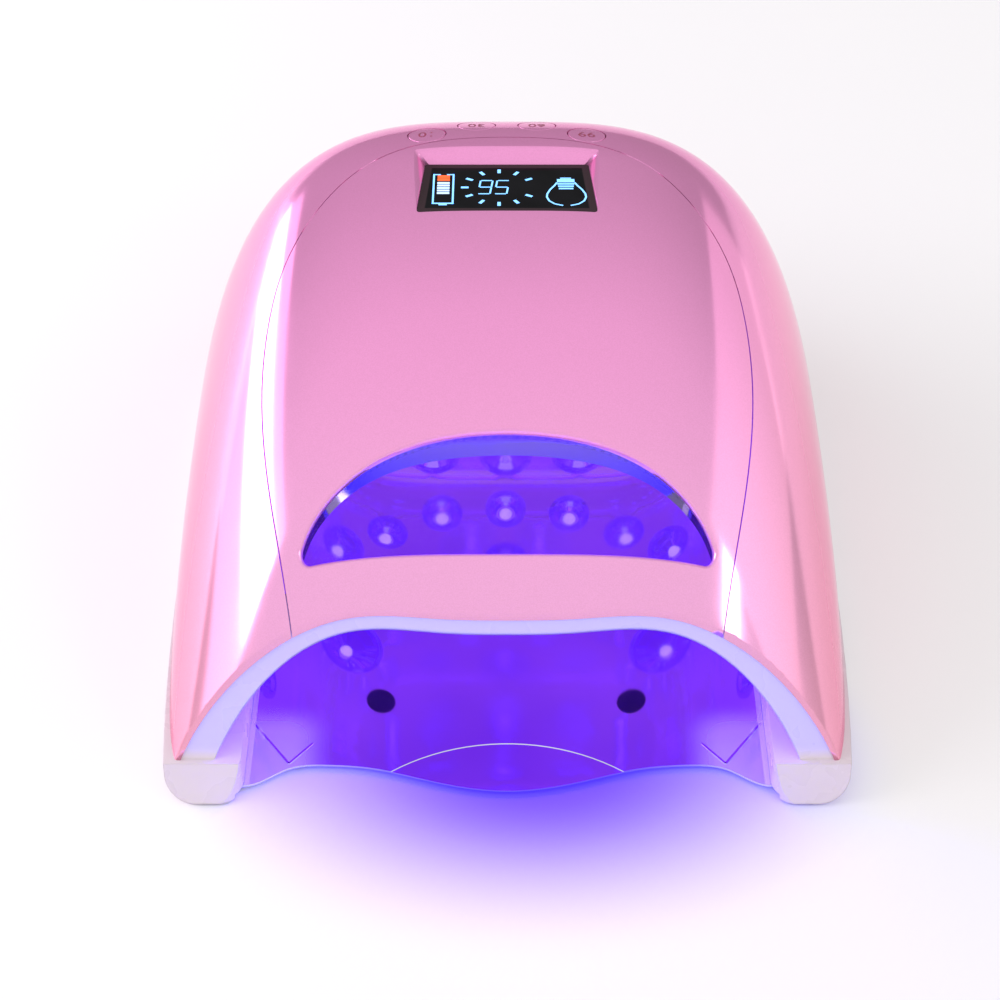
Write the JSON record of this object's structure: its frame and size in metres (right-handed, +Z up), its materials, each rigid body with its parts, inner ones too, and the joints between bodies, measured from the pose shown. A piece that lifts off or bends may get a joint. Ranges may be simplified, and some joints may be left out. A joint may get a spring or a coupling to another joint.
{
  "type": "uv led nail lamp",
  "caption": "Domed cordless nail curing lamp with a hand opening, half-moon window, display, push buttons, mirror base plate, rear grip and rear power ports.",
  "frame": {"origin": "centre of the footprint on the table, under the rubber feet", "axes": "+X to the right seen from the hand opening, +Y towards the back, +Z up; the hand opening faces -Y"},
  "size_m": [0.222, 0.252, 0.1216],
  "materials": {
    "pink_shell": "pearl gloss lacquer",
    "white_frame": "satin moulded",
    "chrome_liner": "vacuum plated mirror",
    "mirror_plate": "polished",
    "window_clear": "clear",
    "display_black": "polished",
    "led_dome": "clear dome",
    "led_body": "matte",
    "star_board": "satin",
    "sensor_dark": "polished",
    "board_green": "solder mask",
    "rubber_grey": "matte",
    "silicone_white": "matte",
    "magnet_nickel": "nickel plated",
    "screw_steel": "zinc plated",
    "cell_wrap": "shrink wrap",
    "black_plastic": "fine texture",
    "rocker_black": "satin",
    "component_dark": "moulded",
    "ribbon_white": "smooth",
    "lead_red": "smooth"
  },
  "bodies": {
    "housing": {"front_cover": "pink_shell", "outer_shell": "pink_shell", "handle_cup": "pink_shell", "inner_frame": "white_frame", "rubber_feet": "rubber_grey", "plate_magnets": "magnet_nickel", "shell_screws": "screw_steel", "reflector": "chrome_liner", "led_cups": "chrome_liner", "led_lenses": "led_dome", "led_emitters": "led_body", "led_star_boards": "star_board", "sensor_windows": "sensor_dark", "sensor_boards": "board_green", "window_bezel": "chrome_liner", "window_lens": "window_clear", "display_lens": "display_black", "display_module": "black_plastic", "display_board": "board_green", "button_pad": "silicone_white", "tact_switches": "component_dark", "button_board": "board_green", "board_pillars": "black_plastic", "battery_cells": "cell_wrap", "battery_cradle": "black_plastic", "main_board": "board_green", "board_components": "component_dark", "board_screws": "screw_steel", "display_ribbon": "ribbon_white", "battery_lead": "lead_red", "rear_panel": "black_plastic", "rocker_housing": "black_plastic", "dc_jack": "black_plastic"},
    "button_1": {"button_1": "pink_shell"},
    "button_2": {"button_2": "pink_shell"},
    "button_3": {"button_3": "pink_shell"},
    "button_4": {"button_4": "pink_shell"},
    "rocker": {"power_rocker": "rocker_black"},
    "plate": {"base_plate": "mirror_plate"}
  },
  "joints": [
    {"name": "button_1_press", "type": "slide", "parent": "housing", "child": "button_1", "axis": [0, -0.2079, -0.9781], "range_m": [0, 0.0005], "stiffness_N_per_m": 400},
    {"name": "button_2_press", "type": "slide", "parent": "housing", "child": "button_2", "axis": [0, -0.2079, -0.9781], "range_m": [0, 0.0005], "stiffness_N_per_m": 400},
    {"name": "button_3_press", "type": "slide", "parent": "housing", "child": "button_3", "axis": [0, -0.2079, -0.9781], "range_m": [0, 0.0005], "stiffness_N_per_m": 400},
    {"name": "button_4_press", "type": "slide", "parent": "housing", "child": "button_4", "axis": [0, -0.2079, -0.9781], "range_m": [0, 0.0005], "stiffness_N_per_m": 400},
    {"name": "rocker_swing", "type": "hinge", "parent": "housing", "child": "rocker", "pos_m": [0.011, 0.1222, 0.0295], "axis": [1, 0, 0], "range_deg": [0, 14]},
    {"name": "plate_slide", "type": "slide", "parent": "housing", "child": "plate", "axis": [0, -1, 0], "range_m": [0, 0.26]}
  ]
}
